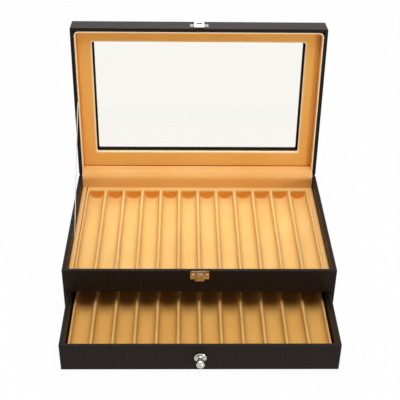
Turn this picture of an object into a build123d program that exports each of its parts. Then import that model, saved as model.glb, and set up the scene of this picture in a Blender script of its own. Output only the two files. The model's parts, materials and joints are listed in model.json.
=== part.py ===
from build123d import *
from math import asin, cos, radians, sin, sqrt
import os

# A pen collector chest: a low case of covered board with a slotted tray under a
# windowed lid, and a drawer with a second slotted tray below it.
# Millimetres and degrees. The origin is the middle of the case's underside,
# +X to the right, +Y to the back, +Z up. It is drawn with the lid open, the
# drawer pulled part way out and the hasp folded back.

# ---- case ----
CASE_W = 335.0          # over the side walls
CASE_D = 215.0          # front to back, case and lid alike
RIM_Z = 76.4            # floor to the case's rim
WALL = 4.6              # covered board of case and lid
CORNER_R = 1.6          # upright corners, covering drawn round them
EDGE_R = 0.8            # long edges of the rims
FELT = 0.8              # felt sheet under the case
FELT_INSET = 2.0        # felt edge inside the case's outline
BASE = 4.4              # base board
RAIL_H = 32.8           # front rail, rim down to its lower edge
SHELF = 1.8             # floor of the upper tray

# ---- slotted inserts, formed and flocked ----
SLOTS = 12
STRIP_W = 6.3           # velvet strip each side of the upper insert
TROUGH_DEPTH = 13.5
TROUGH_DRAFT = 0.3      # each side leans in by this much
TROUGH_R = 10.4         # round of a trough's lower corners
CREST = 4.0             # width of the crest between two troughs
CREST_R = 1.9           # rounding of the troughs' upper edges
SHEET = 0.9             # formed sheet under a trough
FLUTE_TOP = 1.0         # flat at the top of the hollow under a crest
FLUTE_REACH = 0.95      # share of its radius that a flute's side may use
SIDE_LAND = 0.8         # beyond the outermost troughs
END_LAND = 9.5          # flat at each end of the troughs
INSERT_PLAY = 0.4       # round an insert
STRIP_R = 1.2           # soft upper edges of the side strips

# ---- lid ----
LID_H = 28.0            # rim to the lid's outer top
PANEL = 3.0             # outer panel with the window
GLASS = 2.0
GLASS_LAP = 9.0         # glass beyond the window on each side
WINDOW_SIDE = 28.0      # lid's side to its window
WINDOW_END = 27.9       # lid's front or back to its window, before the shift
WINDOW_SHIFT = 2.4      # it lies this much towards the front
RETAINER = 6.0          # black board ring on the glass, under the lined frame
FRAME = 3.0             # board of the lined frame
FRAME_SIDE = 26.0       # lid's side to the lined frame's opening
FRAME_END = 26.6        # lid's front or back to it, before the shift
FRAME_SHIFT = 3.0       # its opening lies this much towards the front
FRAME_CORNER_R = 2.5
RETAINER_LIP = 1.0      # black retainer stands back from the frame's opening
LINER = 2.0             # lined card round the lid's inside
LINER_R = 4.5           # its inner corners
LINER_DROP = 0.3        # liner and tape below the rim
BOARD_PLAY = 0.2        # loose boards inside the lid

# ---- hinges ----
OPEN_ANGLE = 93.7       # lid's travel from shut to the taut tape
SHUT_GAP = 0.4          # between the rims when shut
HINGE_X = 95.0          # hinge centres left and right of the middle
HINGE_OFFSET = 0.4      # pin centre behind the back faces, barrels let into the rims
HINGE_BARREL_R = 1.9
HINGE_PIN_R = 0.9
HINGE_W = 32.0
LEAF_H = 15.0           # pin centre to the leaf's far edge
LEAF_T = 0.8
LEAF_CORNER_R = 2.0
KNUCKLE_GAP = 0.3
PIN_PLAY = 0.05
HINGE_SCREW_X = 10.5
HINGE_SCREW_DROP = 10.5
TAPE = 2.0              # lined hinge tape

# ---- lid stay, a thin cord on the left ----
STAY_R = 0.6
STAY_Y = -15.0          # where it leaves the case, from the case's middle
STAY_REACH = 108.5      # where it meets the lid, from the lid's hinged side
STAY_GAP = 0.3          # beside the case's wall and ahead of the lid's rim
STAY_LAP = 0.2          # its upper end over the edge of the lid's wall

# ---- drawer ----
PULL_OUT = 94.6         # drawer front ahead of the shut position
DRAWER_WALL = 4.3
DRAWER_BOTTOM = 3.0
SIDE_PLAY = 0.4
RUN_PLAY = 0.3          # under the drawer
TOP_PLAY = 0.8          # over the drawer, under the shelf and the rail
BACK_PLAY = 1.0         # behind the shut drawer

# ---- screws ----
SCREW_HEAD_R = 2.0
SCREW_HEAD_H = 0.8
SCREW_R = 0.9
SCREW_GRIP = 3.6        # depth in the wall
SCREW_PLAY = 0.05

# ---- catch on the front rail ----
PLATE_T = 0.8
CATCH_W = 22.8
CATCH_H = 12.2
CATCH_DROP = 0.3        # below the rim
TAB_W = 11.4
TAB_H = 3.2
PLATE_R = 0.6
NIB_W = 6.0
NIB_H = 2.6
NIB_OUT = 2.8           # ahead of the plate
NIB_DROP = 6.4          # nib centre below the rim
CATCH_SCREW_X = 8.6     # clear of the shut flap

# ---- hasp on the lid's front wall ----
HASP_PLATE_W = 24.0
HASP_PLATE_H = 15.0
HASP_PLATE_DROP = 2.6   # plate's near edge from the rim
BITE_R = 4.6            # concave bites that give the fish-tail ends
BITE_DEPTH = 2.4
BITE_X = 8.6            # bites and screws, clear of the flap
HASP_OFFSET = 1.6       # pin centre ahead of the wall
HASP_PIN_DROP = 2.2     # pin centre from the rim
HASP_BARREL_R = 1.5
HASP_PIN_R = 0.6
FLAP_W = 12.7
FLAP_L = 19.0
FLAP_KNUCKLE = 5.4
FLAP_SLOT_PLAY = 0.8    # round the nib
FLAP_SLOT_R = 1.0
LIP_H = 3.6             # finger lip at the flap's end
FLAP_TILT = 7.0         # the lip props the folded flap

# ---- knob ----
ROSETTE_R = 7.2
ROSETTE_T = 1.0
ROSETTE_RING = 1.7      # height of the raised ring
NECK_R = 2.6
BALL_R = 5.5
BALL_OUT = 9.6          # ball centre ahead of the drawer front
KNOB_SCREW_R = 1.9
KNOB_SCREW_DEPTH = 7.0  # into the ball
KNOB_HEAD_R = 4.0
KNOB_HEAD_T = 1.8

# ---- places worked out from the sizes ----
wall_foot_z = FELT
base_top_z = wall_foot_z + BASE
rail_foot_z = RIM_Z - RAIL_H
shelf_top_z = rail_foot_z + SHELF
inner_w = CASE_W - 2 * WALL
inner_d = CASE_D - 2 * WALL
insert_w = inner_w - 2 * (STRIP_W + INSERT_PLAY)
slot_pitch = (insert_w - 2 * SIDE_LAND) / SLOTS
insert_h = SHEET + TROUGH_DEPTH
crest_z = shelf_top_z + insert_h
front_y = -CASE_D / 2
back_y = CASE_D / 2
drawer_w = inner_w - 2 * SIDE_PLAY
drawer_d = CASE_D - WALL - BACK_PLAY
drawer_foot_z = base_top_z + RUN_PLAY
drawer_floor_z = drawer_foot_z + DRAWER_BOTTOM
drawer_front_y = front_y - PULL_OUT
drawer_mid_y = drawer_front_y + drawer_d / 2
drawer_h = rail_foot_z - TOP_PLAY - drawer_foot_z
knob_z = drawer_foot_z + drawer_h / 2

# The lid's own plane lies in its rim: local x to the right, local y from the
# back wall to the front wall, local z out of the open side.
lean = radians(OPEN_ANGLE - 90)
lid_up = Vector(0, sin(lean), cos(lean))
lid_out = Vector(0, -cos(lean), sin(lean))
hinge_pin = Vector(0, back_y + HINGE_OFFSET, RIM_Z + SHUT_GAP / 2)
lid_corner = hinge_pin + lid_up * HINGE_OFFSET - lid_out * (SHUT_GAP / 2)
LID = Plane(origin=lid_corner, x_dir=(1, 0, 0), z_dir=lid_out)
LID_BACK = Plane(origin=lid_corner, x_dir=(-1, 0, 0), z_dir=-lid_up)
LID_FRONT = Plane(origin=lid_corner + lid_up * CASE_D, x_dir=(1, 0, 0), z_dir=lid_up)
CASE_BACK = Plane(origin=(0, back_y, RIM_Z), x_dir=(-1, 0, 0), z_dir=(0, 1, 0))
CASE_FRONT = Plane(origin=(0, front_y, RIM_Z), x_dir=(1, 0, 0), z_dir=(0, -1, 0))
DRAWER_FACE = Plane(origin=(0, drawer_front_y, knob_z), x_dir=(1, 0, 0), z_dir=(0, -1, 0))

# The folded hasp flap: local y points back to its pin, local z the way its lip bends.
tilt = radians(FLAP_TILT)
hasp_pin_at = lid_corner + lid_up * (CASE_D + HASP_OFFSET) - lid_out * HASP_PIN_DROP
lip_way = lid_up * -cos(tilt) - lid_out * sin(tilt)
FLAP = Plane(origin=hasp_pin_at, x_dir=(1, 0, 0), z_dir=lip_way)

os.makedirs("parts", exist_ok=True)


def save(builder, label):
    """Label a finished piece and write it."""
    builder.part.label = label
    export_step(builder.part, "parts/" + label + ".step")


# ---- boards ----

def mitre(side, width, depth, wall, square_front=False):
    """Outline, seen from above, of one side's share of a mitred frame."""
    x, y = width / 2, depth / 2
    past = wall
    if side in ("left", "right"):
        s = -1 if side == "left" else 1
        front = -y - past if square_front else -y + wall
        return [(s * (x + past), -y - past), (s * (x - wall), front),
                (s * (x - wall), y - wall), (s * (x + past), y + past)]
    s = -1 if side == "front" else 1
    return [(-x - past, s * (y + past)), (-x + wall, s * (y - wall)),
            (x - wall, s * (y - wall)), (x + past, s * (y + past))]


def at(plane, x, y):
    """The same plane with its origin moved to a point on it."""
    return Plane(origin=plane.from_local_coords((x, y, 0)), x_dir=plane.x_dir,
                 z_dir=plane.z_dir)


def frame_board(plane, side, width, depth, wall, height, square_front=False):
    """One board of a four-board frame that stands on a plane, round its origin."""
    with BuildSketch(plane) as outline:
        RectangleRounded(width, depth, CORNER_R)
        Rectangle(width - 2 * wall, depth - 2 * wall, mode=Mode.SUBTRACT)
        with BuildLine():
            Polyline(*mitre(side, width, depth, wall, square_front), close=True)
        make_face(mode=Mode.INTERSECT)
    extrude(outline.sketch, amount=height)


def soften_rim(builder, axis, radius):
    """Round the long edges of a board's rim, the face furthest along an axis."""
    rim = builder.faces().sort_by(axis)[-1]
    longest = rim.edges().sort_by(SortBy.LENGTH)[-2:]
    fillet(longest, radius)


def plate(plane, centre, width, depth, thickness, radius=0.0):
    """A flat board or sheet on a plane, with rounded corners if wanted."""
    with BuildSketch(plane) as outline:
        with Locations(centre):
            if radius > 0:
                RectangleRounded(width, depth, radius)
            else:
                Rectangle(width, depth)
    extrude(outline.sketch, amount=thickness)


def window(plane, centre, width, depth, through, radius=0.0):
    """Cut an opening through a board, to both sides of a plane."""
    with BuildSketch(plane) as outline:
        with Locations(centre):
            if radius > 0:
                RectangleRounded(width, depth, radius)
            else:
                Rectangle(width, depth)
    extrude(outline.sketch, amount=through, both=True, mode=Mode.SUBTRACT)


def holes(plane, points, radius, depth):
    """Round holes into a plane's back, at a list of points."""
    with BuildSketch(plane) as outline:
        with Locations(*points):
            Circle(radius)
    extrude(outline.sketch, amount=depth, both=True, mode=Mode.SUBTRACT)


def screw_set(plane, points, seat):
    """Round-headed screws whose heads sit on a plate of the seat's thickness."""
    with BuildSketch(plane.offset(seat)) as heads:
        with Locations(*points):
            Circle(SCREW_HEAD_R)
    extrude(heads.sketch, amount=SCREW_HEAD_H)
    fillet(edges().group_by(Axis(plane.origin, plane.z_dir))[-1], SCREW_HEAD_H * 0.6)
    with BuildSketch(plane.offset(seat)) as shanks:
        with Locations(*points):
            Circle(SCREW_R)
    extrude(shanks.sketch, amount=-(seat + SCREW_GRIP))


# ---- where the screws go, on the planes of the faces that they enter ----
hinge_screws = [(s * HINGE_X + t * HINGE_SCREW_X, -HINGE_SCREW_DROP)
                for s in (-1, 1) for t in (-1, 1)]
lid_hinge_screws_at = [(x, HINGE_SCREW_DROP) for x, y in hinge_screws]
catch_screws_at = [(-CATCH_SCREW_X, -NIB_DROP), (CATCH_SCREW_X, -NIB_DROP)]
hasp_mid = HASP_PLATE_DROP + HASP_PLATE_H / 2
hasp_screws_at = [(-BITE_X, hasp_mid), (BITE_X, hasp_mid)]
pilot_r = SCREW_R + SCREW_PLAY
leaf_start = HINGE_BARREL_R + KNUCKLE_GAP


def hinge_rebates(face):
    """Cut the room for both hinges' barrels out of a back wall's rim."""
    with BuildSketch(face) as rooms:
        with Locations((-HINGE_X, 0), (HINGE_X, 0)):
            Rectangle(HINGE_W + 2 * KNUCKLE_GAP, 2 * leaf_start - SHUT_GAP)
    extrude(rooms.sketch, amount=leaf_start - HINGE_OFFSET, both=True, mode=Mode.SUBTRACT)


# ---- case ----
with BuildPart() as base_felt:
    plate(Plane.XY, (0, 0), CASE_W - 2 * FELT_INSET, CASE_D - 2 * FELT_INSET, FELT, CORNER_R)
save(base_felt, "base_felt")

with BuildPart() as case_base_board:
    plate(Plane.XY.offset(wall_foot_z), (0, -WALL / 2), inner_w, CASE_D - WALL, BASE)
save(case_base_board, "case_base_board")

for side in ("left", "right"):
    with BuildPart() as case_side:
        frame_board(Plane.XY.offset(rail_foot_z), side, CASE_W, CASE_D, WALL, RAIL_H)
        soften_rim(case_side, Axis.Z, EDGE_R)
        frame_board(Plane.XY.offset(wall_foot_z), side, CASE_W, CASE_D, WALL,
                    rail_foot_z - wall_foot_z, square_front=True)
    save(case_side, "case_" + side + "_wall")

with BuildPart() as case_back_wall:
    frame_board(Plane.XY.offset(wall_foot_z), "back", CASE_W, CASE_D, WALL,
                RIM_Z - wall_foot_z)
    soften_rim(case_back_wall, Axis.Z, EDGE_R)
    hinge_rebates(CASE_BACK)
    holes(CASE_BACK, hinge_screws, pilot_r, SCREW_GRIP)
save(case_back_wall, "case_back_wall")

with BuildPart() as case_front_rail:
    frame_board(Plane.XY.offset(rail_foot_z), "front", CASE_W, CASE_D, WALL, RAIL_H)
    soften_rim(case_front_rail, Axis.Z, EDGE_R)
    holes(CASE_FRONT, catch_screws_at, pilot_r, SCREW_GRIP)
save(case_front_rail, "case_front_rail")

with BuildPart() as tray_shelf:
    plate(Plane.XY.offset(rail_foot_z), (0, 0), inner_w, inner_d, SHELF)
save(tray_shelf, "tray_shelf")


# ---- slotted inserts ----

def trough_section(plane):
    """Section of one trough, standing on a plane at the insert's underside."""
    top_w = slot_pitch - CREST
    floor_w = top_w - 2 * TROUGH_DRAFT
    with BuildSketch(plane) as trough:
        with BuildLine():
            Polyline((-floor_w / 2, SHEET), (floor_w / 2, SHEET), (top_w / 2, insert_h),
                     (top_w / 2, insert_h + SHEET), (-top_w / 2, insert_h + SHEET),
                     (-top_w / 2, insert_h), close=True)
        make_face()
        fillet(trough.vertices().group_by(Axis.Y)[0], TROUGH_R)
    return trough.sketch


def flute_section(plane):
    """Section of the hollow that the formed sheet leaves under one crest."""
    outer_r = TROUGH_R + SHEET
    to_centre = CREST / 2 + TROUGH_DRAFT + TROUGH_R
    reach = min(to_centre - FLUTE_TOP / 2, FLUTE_REACH * outer_r)
    swing = asin(reach / outer_r)
    height = outer_r - sqrt(outer_r ** 2 - reach ** 2)
    middle = (outer_r * sin(swing / 2), outer_r * (1 - cos(swing / 2)))
    with BuildSketch(plane) as flute:
        with BuildLine():
            ThreePointArc((-to_centre, 0), (middle[0] - to_centre, middle[1]),
                          (reach - to_centre, height))
            Line((reach - to_centre, height), (to_centre - reach, height))
            ThreePointArc((to_centre - reach, height), (to_centre - middle[0], middle[1]),
                          (to_centre, 0))
            Line((to_centre, 0), (-to_centre, 0))
        make_face()
    return flute.sketch


def row_places(count, y, z):
    """Section planes in a row, one pitch apart, that look towards the front."""
    first = -slot_pitch * (count - 1) / 2
    return [Plane(origin=(first + i * slot_pitch, y, z), x_dir=(1, 0, 0), z_dir=(0, -1, 0))
            for i in range(count)]


def slotted_insert(foot_z, mid_y, width, length):
    """A formed insert: troughs with upright ends between two flat lands."""
    plate(Plane.XY.offset(foot_z), (0, mid_y), width, length, insert_h)
    run = length - 2 * END_LAND
    for place in row_places(SLOTS, mid_y + run / 2, foot_z):
        extrude(trough_section(place), amount=run, mode=Mode.SUBTRACT)
    crest_edges = faces().sort_by(Axis.Z)[-1].inner_wires().edges()
    fillet(crest_edges, CREST_R)
    for place in row_places(SLOTS - 1, mid_y + length / 2, foot_z):
        extrude(flute_section(place), amount=length, mode=Mode.SUBTRACT)


with BuildPart() as tray_insert:
    slotted_insert(shelf_top_z, 0, insert_w, inner_d - 2 * INSERT_PLAY)
save(tray_insert, "tray_insert")

for name, s in (("left", -1), ("right", 1)):
    with BuildPart() as tray_strip:
        plate(Plane.XY.offset(shelf_top_z), (s * (inner_w - STRIP_W) / 2, 0), STRIP_W,
              inner_d - 2 * INSERT_PLAY, insert_h)
        fillet(tray_strip.edges().filter_by(Axis.Y).group_by(Axis.Z)[-1], STRIP_R)
    save(tray_strip, "tray_" + name + "_strip")

with BuildPart() as hinge_tape_case:
    plate(Plane.XY.offset(crest_z), (0, back_y - WALL - TAPE / 2), inner_w - 2 * INSERT_PLAY,
          TAPE, RIM_Z - LINER_DROP - crest_z)
save(hinge_tape_case, "hinge_tape_case")


# ---- drawer ----
drawer_plane = Plane(origin=(0, drawer_mid_y, drawer_foot_z))

for side in ("front", "back", "left", "right"):
    with BuildPart() as drawer_board:
        frame_board(drawer_plane, side, drawer_w, drawer_d, DRAWER_WALL, drawer_h)
        soften_rim(drawer_board, Axis.Z, EDGE_R)
        if side == "front":
            holes(DRAWER_FACE, [(0, 0)], KNOB_SCREW_R + SCREW_PLAY, DRAWER_WALL + EDGE_R)
    save(drawer_board, "drawer_" + side)

drawer_inner_w = drawer_w - 2 * DRAWER_WALL
drawer_inner_d = drawer_d - 2 * DRAWER_WALL

with BuildPart() as drawer_bottom:
    plate(drawer_plane, (0, 0), drawer_inner_w, drawer_inner_d, DRAWER_BOTTOM)
save(drawer_bottom, "drawer_bottom")

with BuildPart() as drawer_insert:
    slotted_insert(drawer_floor_z, drawer_mid_y, insert_w, drawer_inner_d - 2 * INSERT_PLAY)
    head_room = KNOB_HEAD_T + INSERT_PLAY
    recess = Plane(origin=(0, drawer_front_y + DRAWER_WALL, knob_z), x_dir=(1, 0, 0),
                   z_dir=(0, 1, 0))
    with BuildSketch(recess):
        Circle(KNOB_HEAD_R + INSERT_PLAY)
    extrude(amount=head_room, mode=Mode.SUBTRACT)
save(drawer_insert, "drawer_insert")

# Half sections of the turned knob pieces: local x is the radius, local y runs
# out of the drawer front.
KNOB_SECTION = Plane(origin=DRAWER_FACE.origin, x_dir=(1, 0, 0), z_dir=(0, 0, 1))


def turned(points):
    """Revolve a half section, given as radius and distance ahead, about the knob's axis."""
    with BuildSketch(KNOB_SECTION) as section:
        with BuildLine():
            Polyline(*[(r, -out) for r, out in points], close=True)
        make_face()
    revolve(section.sketch, axis=Axis(DRAWER_FACE.origin, (0, -1, 0)))


with BuildPart() as knob_rosette:
    ring_r = ROSETTE_R - ROSETTE_T
    turned([(KNOB_SCREW_R + SCREW_PLAY, 0), (ROSETTE_R, 0), (ROSETTE_R, ROSETTE_T),
            (ring_r, ROSETTE_RING), (ring_r - ROSETTE_T, ROSETTE_RING),
            (ring_r - 2 * ROSETTE_T, ROSETTE_T), (KNOB_SCREW_R + SCREW_PLAY, ROSETTE_T)])
save(knob_rosette, "knob_rosette")

neck_meets_ball = BALL_OUT - sqrt(BALL_R ** 2 - NECK_R ** 2)
with BuildPart() as drawer_knob:
    with BuildSketch(KNOB_SECTION):
        with BuildLine():
            Line((0, -ROSETTE_T), (NECK_R + ROSETTE_T, -ROSETTE_T))
            RadiusArc((NECK_R + ROSETTE_T, -ROSETTE_T), (NECK_R, -neck_meets_ball), -BALL_R)
            ThreePointArc((NECK_R, -neck_meets_ball), (BALL_R, -BALL_OUT),
                          (0, -BALL_OUT - BALL_R))
            Line((0, -BALL_OUT - BALL_R), (0, -ROSETTE_T))
        make_face()
    revolve(axis=Axis(DRAWER_FACE.origin, (0, -1, 0)))
    holes(DRAWER_FACE, [(0, 0)], KNOB_SCREW_R + SCREW_PLAY, ROSETTE_T + KNOB_SCREW_DEPTH)
save(drawer_knob, "drawer_knob")

with BuildPart() as knob_screw:
    with BuildSketch(DRAWER_FACE.offset(-DRAWER_WALL)):
        Circle(KNOB_HEAD_R)
    extrude(amount=-KNOB_HEAD_T)
    fillet(knob_screw.edges().sort_by(Axis.Y)[-1], KNOB_HEAD_T / 2)
    with BuildSketch(DRAWER_FACE.offset(-DRAWER_WALL)):
        Circle(KNOB_SCREW_R)
    extrude(amount=DRAWER_WALL + ROSETTE_T + KNOB_SCREW_DEPTH - INSERT_PLAY)
save(knob_screw, "knob_screw")

# ---- lid ----
lid_mid = (0, CASE_D / 2)
window_mid = (0, CASE_D / 2 + WINDOW_SHIFT)
frame_setback = LID_H - PANEL - GLASS - RETAINER - FRAME
window_w = CASE_W - 2 * WINDOW_SIDE
window_d = CASE_D - 2 * WINDOW_END
frame_open_w = CASE_W - 2 * FRAME_SIDE
frame_open_d = CASE_D - 2 * FRAME_END
board_run = LID_H - PANEL
lid_ring = at(LID.offset(-board_run), *lid_mid)

# The lid's plane runs from the hinges forwards, so its back wall lies at the low end.
lid_sides = {"back": "front", "front": "back", "left": "left", "right": "right"}
for name, side in lid_sides.items():
    with BuildPart() as lid_board:
        frame_board(lid_ring, side, CASE_W, CASE_D, WALL, board_run)
        soften_rim(lid_board, Axis(LID.origin, LID.z_dir), EDGE_R)
        if name == "back":
            hinge_rebates(LID_BACK)
            holes(LID_BACK, lid_hinge_screws_at, pilot_r, SCREW_GRIP)
        if name == "front":
            holes(LID_FRONT, hasp_screws_at, pilot_r, SCREW_GRIP)
    save(lid_board, "lid_" + name + "_wall")

with BuildPart() as lid_panel:
    plate(LID.offset(-LID_H), lid_mid, CASE_W, CASE_D, PANEL, CORNER_R)
    outer_rim = lid_panel.faces().sort_by(Axis(LID.origin, LID.z_dir))[0].outer_wire().edges()
    fillet(outer_rim, EDGE_R)
    window(LID.offset(-LID_H), window_mid, window_w, window_d, LID_H, CORNER_R)
save(lid_panel, "lid_panel")

with BuildPart() as window_glass:
    plate(LID.offset(-board_run), window_mid, window_w + 2 * GLASS_LAP,
          window_d + 2 * GLASS_LAP, GLASS, CORNER_R)
save(window_glass, "window_glass")

lid_board_w = inner_w - 2 * BOARD_PLAY
lid_board_d = inner_d - 2 * BOARD_PLAY
opening_mid = (0, CASE_D / 2 + FRAME_SHIFT)
frame_back = frame_setback + FRAME

with BuildPart() as glass_retainer:
    plate(LID.offset(GLASS - board_run), lid_mid, lid_board_w, lid_board_d,
          RETAINER)
    window(LID.offset(-board_run), opening_mid, frame_open_w + 2 * RETAINER_LIP,
           frame_open_d + 2 * RETAINER_LIP, LID_H, FRAME_CORNER_R)
save(glass_retainer, "glass_retainer")

with BuildPart() as lined_frame:
    plate(LID.offset(-frame_back), lid_mid, lid_board_w, lid_board_d, FRAME)
    window(LID.offset(-frame_back), opening_mid, frame_open_w, frame_open_d, LID_H,
           FRAME_CORNER_R)
    face_rim = lined_frame.faces().sort_by(Axis(LID.origin, LID.z_dir))[-1]
    fillet(face_rim.inner_wires()[0].edges(), EDGE_R)
save(lined_frame, "lined_frame")

liner_back = WALL + TAPE + BOARD_PLAY
liner_front = CASE_D - WALL - BOARD_PLAY
with BuildPart() as lid_liner:
    with BuildSketch(LID.offset(-frame_setback)):
        with Locations((0, (liner_back + liner_front) / 2)):
            band = Rectangle(lid_board_w, liner_front - liner_back)
        fillet(band.vertices().group_by(Axis.Y)[-1], LINER_R + LINER)
        with BuildSketch(mode=Mode.PRIVATE) as inside:
            with Locations((0, (liner_back + liner_front) / 2 - LINER)):
                hollow = Rectangle(lid_board_w - 2 * LINER, liner_front - liner_back)
            fillet(hollow.vertices().group_by(Axis.Y)[-1], LINER_R)
        add(inside.sketch, mode=Mode.SUBTRACT)
    extrude(amount=frame_setback - LINER_DROP)
    lip = lid_liner.faces().sort_by(Axis(LID.origin, LID.z_dir))[-1]
    fillet(lip.edges().sort_by(SortBy.LENGTH)[2:], EDGE_R)
save(lid_liner, "lid_liner")

with BuildPart() as hinge_tape_lid:
    plate(LID.offset(-frame_setback), (0, WALL + TAPE / 2), inner_w - 2 * INSERT_PLAY, TAPE,
          frame_setback - LINER_DROP)
save(hinge_tape_lid, "hinge_tape_lid")


# ---- hinges ----
knuckle = (HINGE_W - 2 * KNUCKLE_GAP) / 3


def barrel_piece(face, pin, start, length, barrel_r, neck_t, neck_to, hole_r):
    """A rolled knuckle on a face: a drilled barrel and the neck that joins it to its plate.

    The face's plane gives x along the pin and z out of the face. The pin is given as
    its place along the face's y and its height over the face.
    """
    along = Plane(origin=face.from_local_coords((start, 0, 0)), x_dir=face.y_dir,
                  z_dir=face.x_dir)
    side = 1 if along.y_dir.dot(face.z_dir) > 0 else -1
    with BuildSketch(along) as rolled:
        with Locations((pin[0], side * pin[1])):
            Circle(barrel_r)
        with Locations(((pin[0] + neck_to) / 2, side * neck_t / 2)):
            Rectangle(abs(neck_to - pin[0]), neck_t)
        with Locations((pin[0], side * pin[1])):
            Circle(hole_r, mode=Mode.SUBTRACT)
    extrude(rolled.sketch, amount=length)


def hinge_leaf(face, middle_x, way, pin_y, knuckle_starts):
    """One leaf of a butt hinge, screwed flat to a back face."""
    leaf_mid = pin_y + way * (leaf_start + LEAF_H) / 2
    plate(face, (middle_x, leaf_mid), HINGE_W, LEAF_H - leaf_start, LEAF_T, LEAF_CORNER_R)
    square_mid = pin_y + way * (leaf_start + LEAF_CORNER_R)
    plate(face, (middle_x, square_mid), HINGE_W, 2 * LEAF_CORNER_R, LEAF_T)
    for start in knuckle_starts:
        barrel_piece(face, (pin_y, HINGE_OFFSET), middle_x + start, knuckle, HINGE_BARREL_R,
                     LEAF_T, pin_y + way * (leaf_start + LEAF_CORNER_R), HINGE_PIN_R + PIN_PLAY)


outer_knuckles = (-HINGE_W / 2, HINGE_W / 2 - knuckle)
middle_knuckle = (-knuckle / 2,)
for name, s in (("left", -1), ("right", 1)):
    with BuildPart() as case_leaf:
        hinge_leaf(CASE_BACK, -s * HINGE_X, -1, SHUT_GAP / 2, outer_knuckles)
        holes(CASE_BACK, hinge_screws, pilot_r, LEAF_H)
    save(case_leaf, "hinge_" + name + "_case_leaf")

    with BuildPart() as lid_leaf:
        hinge_leaf(LID_BACK, -s * HINGE_X, 1, -SHUT_GAP / 2, middle_knuckle)
        holes(LID_BACK, lid_hinge_screws_at, pilot_r, LEAF_H)
    save(lid_leaf, "hinge_" + name + "_lid_leaf")

    with BuildPart() as pin:
        with BuildSketch(Plane(origin=hinge_pin + Vector(s * HINGE_X - HINGE_W / 2, 0, 0),
                               x_dir=(0, 1, 0), z_dir=(1, 0, 0))):
            Circle(HINGE_PIN_R)
        extrude(amount=HINGE_W)
    save(pin, "hinge_" + name + "_pin")

with BuildPart() as case_hinge_screws:
    screw_set(CASE_BACK, hinge_screws, LEAF_T)
save(case_hinge_screws, "case_hinge_screws")

with BuildPart() as lid_hinge_screws:
    screw_set(LID_BACK, lid_hinge_screws_at, LEAF_T)
save(lid_hinge_screws, "lid_hinge_screws")

# ---- catch ----
with BuildPart() as catch_plate:
    plate(CASE_FRONT, (0, -CATCH_DROP - CATCH_H / 2), CATCH_W, CATCH_H, PLATE_T, PLATE_R)
    plate(CASE_FRONT, (0, -CATCH_DROP - CATCH_H), TAB_W, 2 * TAB_H, PLATE_T, PLATE_R)
    plate(CASE_FRONT.offset(PLATE_T), (0, -NIB_DROP), NIB_W, NIB_H, NIB_OUT, PLATE_R)
    holes(CASE_FRONT, catch_screws_at, pilot_r, PLATE_T)
save(catch_plate, "catch_plate")

with BuildPart() as catch_screws:
    screw_set(CASE_FRONT, catch_screws_at, PLATE_T)
save(catch_screws, "catch_screws")

# ---- hasp ----
plate_knuckle = (FLAP_W - FLAP_KNUCKLE) / 2 - KNUCKLE_GAP
with BuildPart() as hasp_plate:
    with BuildSketch(LID_FRONT):
        with Locations((0, hasp_mid)):
            RectangleRounded(HASP_PLATE_W, HASP_PLATE_H, PLATE_R)
        bite_y = HASP_PLATE_H / 2 + BITE_R - BITE_DEPTH
        with Locations(*[(s * BITE_X, hasp_mid + t * bite_y) for s in (-1, 1) for t in (-1, 1)]):
            Circle(BITE_R, mode=Mode.SUBTRACT)
        with Locations((0, HASP_PIN_DROP)):
            Rectangle(FLAP_W, 2 * (HASP_BARREL_R + KNUCKLE_GAP), mode=Mode.SUBTRACT)
    extrude(amount=PLATE_T)
    for start in (-FLAP_W / 2, FLAP_W / 2 - plate_knuckle):
        barrel_piece(LID_FRONT, (HASP_PIN_DROP, HASP_OFFSET), start, plate_knuckle,
                     HASP_BARREL_R, PLATE_T, HASP_PIN_DROP + 2 * HASP_BARREL_R,
                     HASP_PIN_R + PIN_PLAY)
    holes(LID_FRONT, hasp_screws_at, pilot_r, PLATE_T)
save(hasp_plate, "hasp_plate")

with BuildPart() as hasp_screws:
    screw_set(LID_FRONT, hasp_screws_at, PLATE_T)
save(hasp_screws, "hasp_screws")

with BuildPart() as hasp_pin:
    with BuildSketch(Plane(origin=hasp_pin_at - Vector(FLAP_W / 2, 0, 0), x_dir=(0, 1, 0),
                           z_dir=(1, 0, 0))):
        Circle(HASP_PIN_R)
    extrude(amount=FLAP_W)
save(hasp_pin, "hasp_pin")

nib_reach = NIB_DROP + SHUT_GAP + HASP_PIN_DROP
flap_start = HASP_BARREL_R + KNUCKLE_GAP
with BuildPart() as hasp_flap:
    flap_back = FLAP.offset(-PLATE_T / 2)
    flap_mid = -(flap_start + FLAP_L) / 2
    plate(flap_back, (0, flap_mid), FLAP_W, FLAP_L - flap_start, PLATE_T)
    fillet(hasp_flap.edges().filter_by(lambda e: abs(e.length - PLATE_T) < 1e-6), PLATE_R)
    window(FLAP, (0, -nib_reach), NIB_W + 2 * FLAP_SLOT_PLAY, NIB_H + 2 * FLAP_SLOT_PLAY,
           PLATE_T, FLAP_SLOT_R)
    with BuildSketch(FLAP.offset(-PLATE_T / 2)):
        with Locations((0, -FLAP_L + PLATE_T / 2)):
            Rectangle(FLAP_W - 2 * PLATE_R, PLATE_T)
    extrude(amount=LIP_H + PLATE_T / 2)
    with BuildSketch(Plane(origin=FLAP.from_local_coords((-FLAP_KNUCKLE / 2, 0, 0)),
                           x_dir=FLAP.y_dir, z_dir=(1, 0, 0))):
        Circle(HASP_BARREL_R)
        with Locations((-flap_start, 0)):
            Rectangle(2 * flap_start, PLATE_T)
        Circle(HASP_PIN_R + PIN_PLAY, mode=Mode.SUBTRACT)
    extrude(amount=FLAP_KNUCKLE)
save(hasp_flap, "hasp_flap")

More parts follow.
